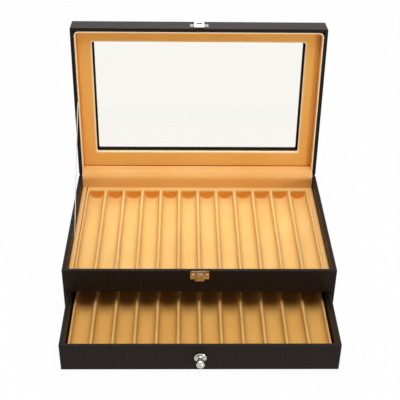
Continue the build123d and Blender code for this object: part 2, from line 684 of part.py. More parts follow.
# ---- lid stay ----
stay_foot = Vector(STAY_R + STAY_GAP - inner_w / 2, STAY_Y, crest_z + STAY_R)
stay_head = (lid_corner + lid_up * STAY_REACH + lid_out * (STAY_R + STAY_GAP)
             - Vector(inner_w / 2 + STAY_LAP, 0, 0))
stay = stay_head - stay_foot
with BuildPart() as lid_stay_cord:
    with BuildSketch(Plane(origin=stay_foot, z_dir=stay)):
        Circle(STAY_R)
    extrude(amount=stay.length)
save(lid_stay_cord, "lid_stay_cord")

print("closed height", RIM_Z + SHUT_GAP + LID_H)
print("hinge pin", [round(v, 3) for v in hinge_pin])
print("hasp pin", [round(v, 3) for v in hasp_pin_at])
print("stay", [round(v, 2) for v in stay_foot], [round(v, 2) for v in stay_head],
      round(stay.length, 2))
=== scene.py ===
"""Looks of a pen collector chest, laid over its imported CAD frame.

Lengths are metres in the frame's axes: +X to the right, +Y to the back, +Z up. Sizes that
are easier to read in millimetres are written as a number times MM.
"""

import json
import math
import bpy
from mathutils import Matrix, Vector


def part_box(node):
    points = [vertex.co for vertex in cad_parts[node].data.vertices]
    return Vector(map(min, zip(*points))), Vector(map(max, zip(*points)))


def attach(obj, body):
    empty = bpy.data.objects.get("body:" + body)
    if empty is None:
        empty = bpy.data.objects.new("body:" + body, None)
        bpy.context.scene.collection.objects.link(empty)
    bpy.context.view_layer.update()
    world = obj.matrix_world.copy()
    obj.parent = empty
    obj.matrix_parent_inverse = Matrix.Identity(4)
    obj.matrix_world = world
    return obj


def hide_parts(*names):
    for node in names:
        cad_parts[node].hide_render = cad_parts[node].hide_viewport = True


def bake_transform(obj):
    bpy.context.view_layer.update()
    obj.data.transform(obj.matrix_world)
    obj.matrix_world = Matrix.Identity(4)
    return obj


bl_info = {
    "name": "Pen collector chest",
    "version": (1, 0, 0),
    "blender": (4, 5, 0),
    "location": "3D View > Sidebar > Pen chest",
    "description": "Dresses a pen chest in leatherette, velvet, flock, glass and nickel",
    "category": "Object",
}

import bmesh
import bpy
from bpy.props import FloatProperty, FloatVectorProperty, IntProperty, PointerProperty
from mathutils import Matrix, Vector, noise

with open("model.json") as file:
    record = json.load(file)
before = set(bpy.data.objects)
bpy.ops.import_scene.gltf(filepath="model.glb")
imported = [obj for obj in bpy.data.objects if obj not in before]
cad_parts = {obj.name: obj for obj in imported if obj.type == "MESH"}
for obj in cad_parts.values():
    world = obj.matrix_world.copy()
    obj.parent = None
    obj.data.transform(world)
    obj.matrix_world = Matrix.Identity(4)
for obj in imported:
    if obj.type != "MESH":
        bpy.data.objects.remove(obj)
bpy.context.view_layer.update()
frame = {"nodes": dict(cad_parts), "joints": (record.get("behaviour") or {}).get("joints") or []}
MM = 0.001

# The lid leans back by what its hinge turns beyond a right angle.
LID_HINGE = next(j for j in frame["joints"] if j["name"] == "lid_hinge")
LID_LEAN = math.radians(LID_HINGE["range_deg"][1] - 90)
LID_UP = Vector((0, math.sin(LID_LEAN), math.cos(LID_LEAN)))
LID_OUT = Vector((0, -math.cos(LID_LEAN), math.sin(LID_LEAN)))


def lid_box(node, start):
    """A CAD node's lowest and highest place from a start, along the lid's own axes."""
    ways = [v.co - start for v in frame["nodes"][node].data.vertices]
    places = [(way.x, way.dot(LID_UP), way.dot(LID_OUT)) for way in ways]
    return Vector([min(p) for p in zip(*places)]), Vector([max(p) for p in zip(*places)])


# The middle of the lid's hinged edge, on its rim.
PIN = Vector(LID_HINGE["pos_m"])
lowest, highest = lid_box("lid_left_wall", PIN)
LID_CORNER = PIN + LID_UP * lowest.y + LID_OUT * highest.z

BOARDS = (
    "case_left_wall", "case_right_wall", "case_back_wall", "case_front_rail",
    "drawer_front", "drawer_back", "drawer_left", "drawer_right",
)
LID_BOARDS = ("lid_front_wall", "lid_back_wall", "lid_left_wall", "lid_right_wall", "lid_panel")
PAPERED = ("case_base_board", "tray_shelf", "drawer_bottom", "glass_retainer")
NICKEL = (
    "hinge_left_case_leaf", "hinge_right_case_leaf", "hinge_left_lid_leaf",
    "hinge_right_lid_leaf", "hinge_left_pin", "hinge_right_pin", "case_hinge_screws",
    "lid_hinge_screws", "catch_plate", "catch_screws", "hasp_plate", "hasp_pin",
    "hasp_screws", "hasp_flap", "knob_rosette", "drawer_knob", "knob_screw",
)


def linear(code):
    """An sRGB hex colour as linear red, green and blue."""
    parts = [int(code[i:i + 2], 16) / 255 for i in (1, 3, 5)]
    return tuple(c / 12.92 if c <= 0.04045 else ((c + 0.055) / 1.055) ** 2.4 for c in parts)


def length(name, default, description):
    return FloatProperty(name=name, default=default, min=0, unit="LENGTH", precision=5,
                         description=description)


def colour(name, code, description):
    return FloatVectorProperty(name=name, default=linear(code), size=3, min=0, max=1,
                               subtype="COLOR", description=description)


class ChestSizes(bpy.types.PropertyGroup):
    rib_pitch: length("Rib pitch", 3.3 * MM, "Spacing of the ribs embossed in the leatherette")
    rib_depth: length("Rib depth", 0.14 * MM, "Height of those ribs")
    slots: IntProperty(name="Slots", default=12, min=1, description="Troughs in one insert")
    slot_pitch: length("Slot pitch", 25.9 * MM, "Trough to trough")
    slot_depth: length("Slot depth", 13.5 * MM, "Crest to trough floor")
    slot_round: length("Slot round", 9.4 * MM, "Round of a trough's lower corners")
    slot_draft: length("Slot draft", 0.3 * MM, "How far a trough's side leans in")
    crest: length("Crest", 4 * MM, "Width of the crest between two troughs")
    end_land: length("End land", 9.5 * MM, "Flat at each end of the troughs")
    end_round: length("End round", 0.6 * MM, "Round where an upright end meets the floor")
    end_corner: length("End corner", 1.0 * MM, "Round, from above, of a trough's end corners")
    sheet_edge: length("Sheet edge", 0.8 * MM, "Round of the formed sheet's outer edge")
    waviness: length("Waviness", 0.18 * MM, "How far formed and glued lining strays from true")
    strip_round: length("Strip round", 1.5 * MM, "Round of the side strips' edges")
    strip_gap: length("Strip gap", 0.7 * MM, "Extra gap beside the tray's left strip")
    frame_side: length("Frame side", 21.2 * MM, "Width of the lined frame's side bars")
    frame_back: length("Frame back", 24.8 * MM, "Width of its bar by the hinge")
    frame_front: length("Frame front", 18.8 * MM, "Width of its bar by the hasp")
    frame_crown: length("Frame crown", 0.4 * MM, "Padding's rise on the lined frame")
    frame_edge: length("Frame edge", 1.3 * MM, "Round of the velvet at the frame's opening")
    liner_lip: length("Liner lip", 0.95 * MM, "Round of the lid liner's lip")
    tape_thickness: length("Tape thickness", 1.8 * MM, "Velvet, card and tape together")
    tape_bend: length("Tape bend", 3.0 * MM, "Round where the tape leaves a wall")
    cord_thickness: length("Cord thickness", 1.2 * MM, "Lid stay cord")
    cord_lay: length("Cord lay", 3.6 * MM, "Length of one turn of the cord's strands")


class ChestColours(bpy.types.PropertyGroup):
    # The grooves' darker colour is painted shade, and the ribs' lighter one painted highlight.
    leatherette: colour("Leatherette", "#150e0a", "Black embossed covering, in the grooves")
    leatherette_rib_highlight: colour("Leatherette ribs", "#251b15", "The same on the ribs")
    # The lid's velvet is painted deeper than the trim, as painted shade on the lid's upright
    # faces.
    velvet: colour("Velvet", "#f3b964", "Velvet of the lid where its pile stands")
    velvet_laid: colour("Laid velvet", "#eeaf58", "Velvet of the lid where its pile is laid over")
    trim: colour("Trim velvet", "#fbcb88", "Velvet of the hinge tape and side strips")
    trim_laid: colour("Laid trim velvet", "#f7bf76", "The same where its pile is laid over")
    # Painted highlight: the paler colour painted on the liner's lip and the frame's and the tape's
    # rounded edges.
    fold: colour("Folded velvet", "#ffe9c4", "Velvet opened to its ground by a fold")
    flock: colour("Flock", "#f6cf88", "Flock of the tray's insert")
    flock_laid: colour("Laid flock", "#f2c67c", "The same where it is rubbed")
    # The drawer's flock is painted darker than the tray's, as painted shade from the case over it.
    flock_shaded: colour("Drawer flock", "#eebd6a", "Flock of the drawer's insert")
    flock_shaded_laid: colour("Laid drawer flock", "#e8b260", "The same where it is rubbed")
    # Painted highlight along the crests, and on the insert's rounded outer edge.
    flock_crest_highlight: colour("Crest flock", "#ffd392", "Flock rubbed along the crests")
    # Painted shade: the deeper colour painted on the troughs' upright ends and the hinge tape's
    # foot.
    pile_thin: colour("Thin pile", "#f0a44a", "Flock on the upright ends, and worn velvet")
    nickel: colour("Nickel", "#c0bbb2", "Bright nickel plate")
    glass: colour("Glass", "#f9f7f2", "Tint of the window glass")
    paper: colour("Black paper", "#16120f", "Paper facing of the hidden boards")
    felt: colour("Felt", "#191817", "Felt under the case")
    cord: colour("Cord", "#fbf5ea", "Lid stay cord")
    floor: colour("Floor", "#f8f8f7", "Painted studio floor")


class ChestStage(bpy.types.PropertyGroup):
    camera_place: FloatVectorProperty(
        name="Camera place", size=3, default=(-20.5025 * MM, -928.9258 * MM, 739.0392 * MM),
        subtype="TRANSLATION", description="Camera's place in the frame")
    camera_yaw: FloatProperty(name="Camera yaw", default=math.radians(1.3545), unit="ROTATION",
                              description="Turn to the right of straight back")
    camera_pitch: FloatProperty(name="Camera pitch", default=math.radians(34.2175),
                                unit="ROTATION", description="Tilt below the horizon")
    camera_roll: FloatProperty(name="Camera roll", default=math.radians(0.9017),
                               unit="ROTATION", description="Turn about the line of sight")
    lens: FloatProperty(name="Lens", default=78.1, min=1, unit="CAMERA",
                        description="Focal length on a 36 mm sensor")
    key_power: FloatProperty(name="Key power", default=24, min=0, unit="POWER",
                             description="Lamp above the chest")
    front_power: FloatProperty(name="Front power", default=16, min=0, unit="POWER",
                               description="Low lamp ahead and to the right")
    rear_power: FloatProperty(name="Rear power", default=10, min=0, unit="POWER",
                              description="Lamp above and behind")
    sky_level: FloatProperty(name="Sky level", default=0.18, min=0,
                             description="Light that surfaces get from all around")
    floor_size: length("Floor size", 9.0, "Side of the studio floor")
    floor_glow: FloatProperty(name="Floor glow", default=0.96, min=0, max=1, subtype="FACTOR",
                              description="Share of plain white in the floor's look")


def add(tree, kind, inputs=None, **settings):
    """Add a node. Each input is given by name or place, as a value or another node's output."""
    node = tree.nodes.new(kind)
    for name, value in settings.items():
        setattr(node, name, value)
    for socket, value in (inputs or {}).items():
        if isinstance(value, bpy.types.NodeSocket):
            tree.links.new(value, node.inputs[socket])
        else:
            node.inputs[socket].default_value = value
    return node


def empty_material(name):
    """A named material with nothing in its node tree but its output."""
    material = bpy.data.materials.new(name)
    material.use_nodes = True
    material.node_tree.nodes.clear()
    return material, material.node_tree


def solid(rgb):
    return (*rgb, 1.0)


def noise_at(tree, place, size, **more):
    """Noise with features of about a size in metres, read at a place."""
    inputs = {"Vector": place, "Scale": 1 / size}
    inputs.update({name.capitalize(): value for name, value in more.items()})
    return add(tree, "ShaderNodeTexNoise", inputs).outputs["Fac"]


def sums(tree, operation, *values):
    """The result of one step of arithmetic."""
    return add(tree, "ShaderNodeMath", dict(enumerate(values)), operation=operation).outputs[0]


def between(tree, value, start, end, low=0.0, high=1.0):
    """A value's place from start to end, as a number from low to high."""
    return add(tree, "ShaderNodeMapRange", {
        "Value": value, "From Min": start, "From Max": end, "To Min": low,
        "To Max": high}).outputs[0]


def mixed_colour(tree, share, first, second):
    """A colour part of the way from one to another."""
    return add(tree, "ShaderNodeMix", {"Factor": share, 6: first, 7: second},
               data_type="RGBA").outputs[2]


def raised(tree, height, strength, depth):
    """A surface normal for relief of a depth in metres."""
    return add(tree, "ShaderNodeBump", {"Height": height, "Strength": strength,
                                       "Distance": depth}).outputs[0]


def surface(tree, shader, kind="ShaderNodeOutputMaterial"):
    """Make a shader the one that shows."""
    add(tree, kind, {"Surface": shader.outputs[0]})


def object_place(tree):
    """Each point's place in the frame at rest, in metres."""
    return add(tree, "ShaderNodeTexCoord").outputs["Object"]


def leatherette(name, lean=0.0):
    """PVC leatherette, calendered with fine upright ribs crossed by shallower ones.

    The ribs catch lines of light on a near-black sheet, and their colour is painted lighter
    than the grooves', as painted highlight and painted shade. They are drawn at about
    twice their real spacing, because at 1.5 mm they are too fine to show in the render.
    """
    sizes, colours = bpy.context.scene.chest_sizes, bpy.context.scene.chest_colours
    material, tree = empty_material(name)
    coords = add(tree, "ShaderNodeTexCoord")
    turned = [add(tree, "ShaderNodeVectorRotate", {"Vector": coords.outputs[o], "Angle": lean},
                  rotation_type="X_AXIS") for o in ("Object", "Normal")]
    place = turned[0].outputs[0]
    facing = add(tree, "ShaderNodeSeparateXYZ", {0: turned[1].outputs[0]})
    # At scale 1 a wave texture has 20 bands in each 2 pi metres.
    wave_scale = 2 * math.pi / (20 * sizes.rib_pitch)
    wave_x, wave_y, wave_z = [
        add(tree, "ShaderNodeTexWave", {"Vector": place, "Scale": wave_scale, "Distortion": 0.0},
            wave_type="BANDS", bands_direction=axis, wave_profile="SIN").outputs["Fac"]
        for axis in "XYZ"]
    # How far a face looks along X or Z, and how far it doesn't.
    along_x, along_z = [sums(tree, "ABSOLUTE", facing.outputs[i]) for i in (0, 2)]
    off_x, off_z = [sums(tree, "SUBTRACT", 1.0, along) for along in (along_x, along_z)]
    ribs = sums(tree, "MULTIPLY_ADD", wave_y, along_x, sums(tree, "MULTIPLY", wave_x, off_x))
    cross = sums(tree, "MULTIPLY_ADD", wave_y, along_z, sums(tree, "MULTIPLY", wave_z, off_z))
    cells = sums(tree, "MULTIPLY", cross, ribs)
    grid = sums(tree, "MULTIPLY_ADD", cells, 0.6, ribs)
    grain = noise_at(tree, place, 1.3 * MM, detail=3.0)
    height = sums(tree, "MULTIPLY_ADD", grain, 0.35, grid)
    # Painted highlight and shade: the ribs are coloured lighter and the grooves darker.
    shade = mixed_colour(tree, between(tree, height, 0.2, 1.6), solid(colours.leatherette),
                         solid(colours.leatherette_rib_highlight))
    skin = add(tree, "ShaderNodeBsdfPrincipled", {
        "Base Color": shade, "Roughness": between(tree, grain, 0.0, 1.0, 0.36, 0.56),
        "Normal": raised(tree, height, 1.0, sizes.rib_depth), "IOR": 1.53,
        "Specular IOR Level": 0.11})
    surface(tree, skin)
    return material


def pile(name, stands, laid, fold, thin, patch, grain, depth):
    """Cut or flocked fibre, standing in some patches and laid over in others.

    Stroked patches give broad soft changes of tone, and single fibres a fine grain. Where
    the mesh marks painted highlight, a paler colour is painted in, and where it marks
    painted shade, a deeper one.
    """
    material, tree = empty_material(name)
    place = object_place(tree)
    strokes = noise_at(tree, place, patch, detail=1.0, distortion=0.3)
    fibres = noise_at(tree, place, grain, detail=4.0, roughness=0.65)
    tone = between(tree, sums(tree, "MULTIPLY_ADD", fibres, 0.4, strokes), 0.45, 0.95)
    shade = mixed_colour(tree, tone, solid(laid), solid(stands))
    # Each mark blends in a colour of painted light: a paler one for painted highlight, a deeper
    # one for painted shade.
    for mark, painted_tone in (("fold", fold), ("thin", thin)):
        share = add(tree, "ShaderNodeAttribute", attribute_name=mark).outputs["Fac"]
        shade = mixed_colour(tree, share, shade, solid(painted_tone))
    cloth = add(tree, "ShaderNodeBsdfPrincipled", {
        "Base Color": shade, "Roughness": between(tree, strokes, 0.0, 1.0, 0.85, 1.0),
        "Normal": raised(tree, fibres, 0.5, depth), "IOR": 1.5, "Specular IOR Level": 0.0,
        "Sheen Weight": 0.1, "Sheen Roughness": 0.5, "Sheen Tint": solid(stands)})
    surface(tree, cloth)
    return material


def nickel_plate():
    """Bright nickel plated on pressed steel, then barrel polished.

    Clear reflections, broken a little by the steel's own waviness and by handling marks.
    """
    colours = bpy.context.scene.chest_colours
    material, tree = empty_material("nickel_plated_steel_polished")
    place = object_place(tree)
    waves = noise_at(tree, place, 3 * MM, detail=1.0)
    marks = noise_at(tree, place, 0.7 * MM, detail=3.0)
    plate = add(tree, "ShaderNodeBsdfPrincipled", {
        "Base Color": solid(colours.nickel), "Metallic": 1.0,
        "Roughness": between(tree, marks, 0.3, 0.75, 0.06, 0.2),
        "Normal": raised(tree, waves, 0.5, 0.06 * MM)})
    surface(tree, plate)
    return material


def float_glass():
    """Clear float glass, 2 mm, wiped clean.

    It takes a few percent of the light behind it, and lamps shine through it onto what lies
    behind. The photograph shows hardly any reflection in it, so its IOR is 1.2 where real
    glass has 1.52.
    """
    colours = bpy.context.scene.chest_colours
    material, tree = empty_material("float_glass_wiped")
    wiped = noise_at(tree, object_place(tree), 40 * MM, detail=3.0, distortion=1.5)
    pane = add(tree, "ShaderNodeBsdfPrincipled", {
        "Base Color": solid(colours.glass), "Roughness": between(tree, wiped, 0.4, 0.8, 0.0, 0.03),
        "IOR": 1.2, "Transmission Weight": 1.0})
    clear = add(tree, "ShaderNodeBsdfTransparent", {"Color": solid(colours.glass)})
    path = add(tree, "ShaderNodeLightPath")
    surface(tree, add(tree, "ShaderNodeMixShader", {0: path.outputs["Is Shadow Ray"],
                                                   1: pane.outputs[0], 2: clear.outputs[0]}))
    return material


def matted(name, rgb, fibre, contrast, rough_low, rough_high):
    """Pressed fibre, as in paper or felt: matt, with fibres a little lighter than the rest."""
    material, tree = empty_material(name)
    fibres = noise_at(tree, object_place(tree), fibre, detail=5.0, roughness=0.7,
                      distortion=1.0)
    lighter = tuple(min(1.0, c * contrast) for c in rgb)
    sheet = add(tree, "ShaderNodeBsdfPrincipled", {
        "Base Color": mixed_colour(tree, fibres, solid(rgb), solid(lighter)),
        "Roughness": between(tree, fibres, 0.0, 1.0, rough_low, rough_high),
        "Normal": raised(tree, fibres, 0.5, 0.1 * MM), "Specular IOR Level": 0.25})
    surface(tree, sheet)
    return material


def glued_velvet(place="lid"):
    """Woven velvet glued over card and board. The lid's is painted deeper than the trim's, as
    painted shade on the lid's upright faces.
    """
    colours = bpy.context.scene.chest_colours
    name = f"velvet_woven_glued_{place}"
    stands, laid = ((colours.velvet, colours.velvet_laid) if place == "lid"
                    else (colours.trim, colours.trim_laid))
    return bpy.data.materials.get(name) or pile(
        name, stands, laid, colours.fold, colours.pile_thin, 55 * MM, 1.3 * MM, 0.3 * MM)


def flocked_sheet(place):
    """Short fibre flocked on a vacuum-formed sheet. The drawer's is painted darker, as painted
    shade from the case over it.
    """
    colours = bpy.context.scene.chest_colours
    stands, laid = ((colours.flock, colours.flock_laid) if place == "tray"
                    else (colours.flock_shaded, colours.flock_shaded_laid))
    return pile(f"flock_on_formed_sheet_{place}", stands, laid, colours.flock_crest_highlight,
                colours.pile_thin, 60 * MM, 1.1 * MM, 0.2 * MM)


def twisted_cord():
    """Polyester cord, laid up from fine bright filaments: off-white, with a faint lustre."""
    colours = bpy.context.scene.chest_colours
    material, tree = empty_material("polyester_cord_twisted")
    filaments = noise_at(tree, object_place(tree), 0.35 * MM, detail=3.0)
    darker = tuple(c * 0.75 for c in colours.cord)
    yarn = add(tree, "ShaderNodeBsdfPrincipled", {
        "Base Color": mixed_colour(tree, filaments, solid(darker), solid(colours.cord)),
        "Roughness": 0.55, "Normal": raised(tree, filaments, 0.5, 0.05 * MM),
        "Specular IOR Level": 0.4})
    surface(tree, yarn)
    return material


def dress(names, material):
    """Give CAD nodes a material."""
    for name in names:
        mesh = frame["nodes"][name].data
        mesh.materials.clear()
        mesh.materials.append(material)


def mesh_piece(name, points, faces, material, **marks):
    """A smooth-shaded mesh object with its faces turned outwards.

    Marks are a number for each point, which the material reads: how much painted highlight
    or painted shade its colour gets, from 0 to 1.
    """
    mesh = bpy.data.meshes.new(name)
    mesh.from_pydata([tuple(p) for p in points], [], faces)
    for mark, values in marks.items():
        mesh.attributes.new(mark, "FLOAT", "POINT").data.foreach_set("value", values)
    shape = bmesh.new()
    shape.from_mesh(mesh)
    bmesh.ops.remove_doubles(shape, verts=shape.verts, dist=1e-6)
    bmesh.ops.recalc_face_normals(shape, faces=shape.faces)
    shape.to_mesh(mesh)
    shape.free()
    mesh.shade_smooth()
    mesh.materials.append(material)
    piece = bpy.data.objects.new(name, mesh)
    bpy.context.scene.collection.objects.link(piece)
    return piece


def keep_edges(piece, angle=40):
    """Let edges sharper than the angle stay crisp under smooth shading."""
    piece.data.set_sharp_from_angle(angle=math.radians(angle))


def strips_between(rows, closed_rows=False, closed_round=False):
    """Faces between successive rows of points with the same count."""
    count, faces = len(rows[0]), []
    last = len(rows) if closed_round else len(rows) - 1
    for r in range(last):
        a, b = r * count, (r + 1) % len(rows) * count
        for i in range(count if closed_rows else count - 1):
            j = (i + 1) % count
            faces.append((a + i, a + j, b + j, b + i))
    return faces


def ends_of(points, count):
    """The two end faces of a tube, whose rings have a count of points each."""
    return [tuple(range(count)), tuple(range(len(points) - count, len(points)))]


def grid_rim(across, along):
    """The points round the outside of a grid, by their place in it."""
    rim = list(range(across)) + [r * across + across - 1 for r in range(1, along)]
    rim += [(along - 1) * across + i for i in range(across - 2, -1, -1)]
    return rim + [r * across for r in range(along - 2, 0, -1)]


def quarter(steps, first=0):
    """A quarter turn's steps, each as the gap that its cosine and its sine leave to 1."""
    angles = [math.pi / 2 * i / steps for i in range(first, steps + 1)]
    return [(1 - math.cos(angle), 1 - math.sin(angle)) for angle in angles]


def finer(line, step, whole):
    """A line with more points, about a step apart, by a way to make a number whole."""
    points = []
    for a, b in zip(line, line[1:]):
        steps = max(1, whole((b - a).length / step))
        points += [a.lerp(b, i / steps) for i in range(steps)]
    return points + [line[-1]]


def heading(line, i):
    """Which way a line runs at one of its points."""
    return (line[min(i + 1, len(line) - 1)] - line[max(i - 1, 0)]).normalized()


def round_rectangle(width, depth, radius):
    """Points round a rectangle with rounded corners, always the same number."""
    arc_steps, side_steps, points = 5, 24, []
    for turn, (sx, sy) in enumerate(((1, 1), (-1, 1), (-1, -1), (1, -1))):
        centre = Vector((sx * (width / 2 - radius), sy * (depth / 2 - radius)))
        start = turn * math.pi / 2
        for i in range(arc_steps + 1):
            angle = start + math.pi / 2 * i / arc_steps
            points.append(centre + Vector((math.cos(angle), math.sin(angle))) * radius)
        nx, ny = ((-1, 1), (-1, -1), (1, -1), (1, 1))[turn]
        following = Vector((nx * (width / 2 - (radius if nx != sx else 0)),
                            ny * (depth / 2 - (radius if ny != sy else 0))))
        here = points[-1].copy()
        for i in range(1, side_steps):
            points.append(here.lerp(following, i / side_steps))
    return points


def stray(point, seed, amount, wavelength):
    """How far lining strays from true at a point: smooth, and the same on each run."""
    return amount * noise.noise(Vector(point) / wavelength + Vector((seed, 0, 0)))


def trough_half(sizes):
    """Half a trough's section, from a crest's middle to the trough's: places and depths."""
    half, top = sizes.slot_pitch / 2, sizes.slot_depth
    crest_round = sizes.crest / 2 * 0.95
    side = half - sizes.crest / 2
    points = [(half, top)]
    points += [(side + crest_round * inward, top - crest_round * down)
               for inward, down in reversed(quarter(4))]
    mid_height = (top - crest_round + sizes.slot_round) / 2
    points.append((side - sizes.slot_draft * (1 - mid_height / top), mid_height))
    flat = side - sizes.slot_draft - sizes.slot_round
    for inward, up in quarter(8):
        height = sizes.slot_round * up
        points.append((flat + sizes.slot_round * (1 - inward)
                       + sizes.slot_draft * height / top, height))
    points.append((flat / 2, 0.0))
    return [(-x, top - z) for x, z in points]


def flocked_insert(name, node, body, seed, left_gap=0.0):
    """A formed insert: rows of troughs with upright scalloped ends, and a skirt round it."""
    sizes = bpy.context.scene.chest_sizes
    low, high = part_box(node)
    middle, half_w, half_l = (low + high) / 2, (high.x - low.x) / 2, (high.y - low.y) / 2
    tall = high.z - low.z
    half_slot = trough_half(sizes)
    slot = half_slot + [(0.0, sizes.slot_depth)] + [(-x, d) for x, d in half_slot[:0:-1]]
    edge, left, right = sizes.sheet_edge, left_gap - half_w, half_w
    bend = 0.3 * edge  # the middle of the edge's round, in from both its faces
    # Columns, as place across, depth at full share, drop of the skirt, and trough's middle.
    columns = [(left, 0.0, tall, None), (left, 0.0, edge, None),
               (left + bend, 0.0, bend, None), (left + edge, 0.0, 0.0, None)]
    for i in range(sizes.slots):
        centre = (i - (sizes.slots - 1) / 2) * sizes.slot_pitch
        columns += [(centre + x, d, 0.0, centre) for x, d in slot]
    columns.append((sizes.slots / 2 * sizes.slot_pitch, 0.0, 0.0, None))
    columns += [(right - edge, 0.0, 0.0, None), (right - bend, 0.0, bend, None),
                (right, 0.0, edge, None), (right, 0.0, tall, None)]
    # Rows, as place along the troughs, share of a trough's depth, drop of the skirt, how
    # far the trough's sides close in, and how much painted shade the upright ends get.
    end, low_r, top_r = half_l - sizes.end_land, sizes.end_round, sizes.crest / 2 * 0.8
    depth, corner = sizes.slot_depth, sizes.end_corner
    rows = [(half_l, 0.0, tall, 0.0, 0.0), (half_l, 0.0, edge, 0.0, 0.0),
            (half_l - bend, 0.0, bend, 0.0, 0.0),
            (half_l - edge, 0.0, 0.0, 0.0, 0.0),
            ((half_l + end + top_r) / 2, 0.0, 0.0, corner, 0.0)]
    # The upright ends are marked for painted shade, most at their middle and deepest down.
    rows += [(end + top_r * back, top_r * down / depth, 0.0, corner, i / 3)
             for i, (down, back) in enumerate(quarter(3))]
    rows.append((end, 0.5, 0.0, corner, 1.0))
    rows += [(end - low_r * ahead, 1 - low_r * up / depth, 0.0, corner, 1 - i / 3)
             for i, (ahead, up) in enumerate(quarter(3))]
    rows += [(end - low_r - corner * ahead, 1.0, 0.0, corner * close, 0.0)
             for ahead, close in quarter(4, 1)]
    floor_steps, start = 22, end - low_r - corner
    far_end = [(-y, *rest) for y, *rest in reversed(rows)]
    rows += [(start * (1 - 2 * i / floor_steps), 1.0, 0.0, 0.0, 0.0)
             for i in range(1, floor_steps)]
    rows += far_end
    open_half = sizes.slot_pitch / 2 - sizes.crest / 2
    # Painted highlight: crest tops and the skirt's rounded edge are coloured paler.
    crest_highlight_depth, thin_from, crest_highlight_weight, edge_highlight_weight = 0.8 * MM, 3 * MM, 0.5, 0.6
    points, folds, thins = [], [], []
    for y, share, skirt, close, thin in rows:
        for x, d, side_skirt, middle_x in columns:
            drop = max(skirt, side_skirt)
            if middle_x is not None:
                # The crest's own middle stays, and the trough's sides come in from it.
                across = x - middle_x
                nearness = min(1.0, abs(across) / open_half)
                beyond = max(0.0, abs(across) - open_half) / (sizes.crest / 2)
                across -= math.copysign(close * nearness * (1 - beyond), across)
                x = middle_x + across
            place = Vector((x, y, 0))
            height = -d * share - drop
            if drop < tall:
                height += stray(place, seed, sizes.waviness, 30 * MM)
            sway = stray(place, seed + 7, sizes.waviness, 45 * MM) if not side_skirt else 0.0
            points.append(Vector((middle.x + x + sway, middle.y + y, high.z + height)))
            # Painted highlight near each crest's top.
            rubbed = crest_highlight_weight * max(0.0, 1 - d / crest_highlight_depth) * min(1.0, 2 * share)
            folds.append(max(rubbed, edge_highlight_weight if 0 < drop <= edge else 0.0))
            thins.append(thin * min(1.0, d / thin_from))
    faces = strips_between([columns] * len(rows))
    faces.append(tuple(grid_rim(len(columns), len(rows))))
    piece = mesh_piece(name, points, faces, flocked_sheet(name.split("_")[0]), fold=folds,
                       thin=thins)
    keep_edges(piece, 50)
    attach(piece, body)
    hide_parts(node)
    return piece


def lid_point(x, along, out):
    """A point of the lid: to the right, from the hinged side forwards, and out of its rim."""
    return LID_CORNER + Vector((x, 0, 0)) + LID_UP * along + LID_OUT * out


class PENCHEST_OT_boards(bpy.types.Operator):
    """Cover the case's, drawer's and lid's boards in leatherette"""
    bl_idname = "penchest.boards"
    bl_label = "Leatherette boards"

    def execute(self, context):
        dress(BOARDS, leatherette("pvc_leatherette_embossed"))
        dress(LID_BOARDS, leatherette("pvc_leatherette_embossed_lid", LID_LEAN))
        return {"FINISHED"}


class PENCHEST_OT_inserts(bpy.types.Operator):
    """Form the flocked inserts of the tray and the drawer"""
    bl_idname = "penchest.inserts"
    bl_label = "Flocked inserts"

    def execute(self, context):
        gap = context.scene.chest_sizes.strip_gap
        flocked_insert("tray_flocked_insert", "tray_insert", "case", 1, gap)
        flocked_insert("drawer_flocked_insert", "drawer_insert", "drawer", 4)
        return {"FINISHED"}


class PENCHEST_OT_side_strips(bpy.types.Operator):
    """Wrap the strips beside the tray's insert in velvet"""
    bl_idname = "penchest.side_strips"
    bl_label = "Velvet side strips"

    def execute(self, context):
        sizes = context.scene.chest_sizes
        for side, seed in (("left", 11), ("right", 12)):
            low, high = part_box(f"tray_{side}_strip")
            if side == "right":
                low.x -= 0.25 * MM  # it is pressed against the insert
            middle, size = (low + high) / 2, high - low
            loops = [(0.0, low.z), (0.0, (low.z + high.z) / 2)]
            loops += [(sizes.strip_round * inward, high.z - sizes.strip_round * down)
                      for inward, down in quarter(4)]
            loops.append((size.x / 2 * 0.9, high.z + 0.1 * MM))
            rows = []
            for inset, z in loops:
                ring = round_rectangle(size.x - 2 * inset, size.y - 2 * inset,
                                       max(0.1 * MM, 0.5 * MM - inset / 4))
                rows.append([Vector((middle.x + p.x, middle.y + p.y, z
                                     + (stray((p.x, p.y, 0), seed, sizes.waviness, 40 * MM)
                                        if z > middle.z else 0))) for p in ring])
            points = [p for row in rows for p in row]
            faces = strips_between(rows, closed_rows=True) + ends_of(points, len(rows[0]))
            piece = mesh_piece(f"tray_{side}_velvet_strip", points, faces,
                               glued_velvet("trim"))
            keep_edges(piece, 50)
            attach(piece, "case")
            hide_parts(f"tray_{side}_strip")
        return {"FINISHED"}


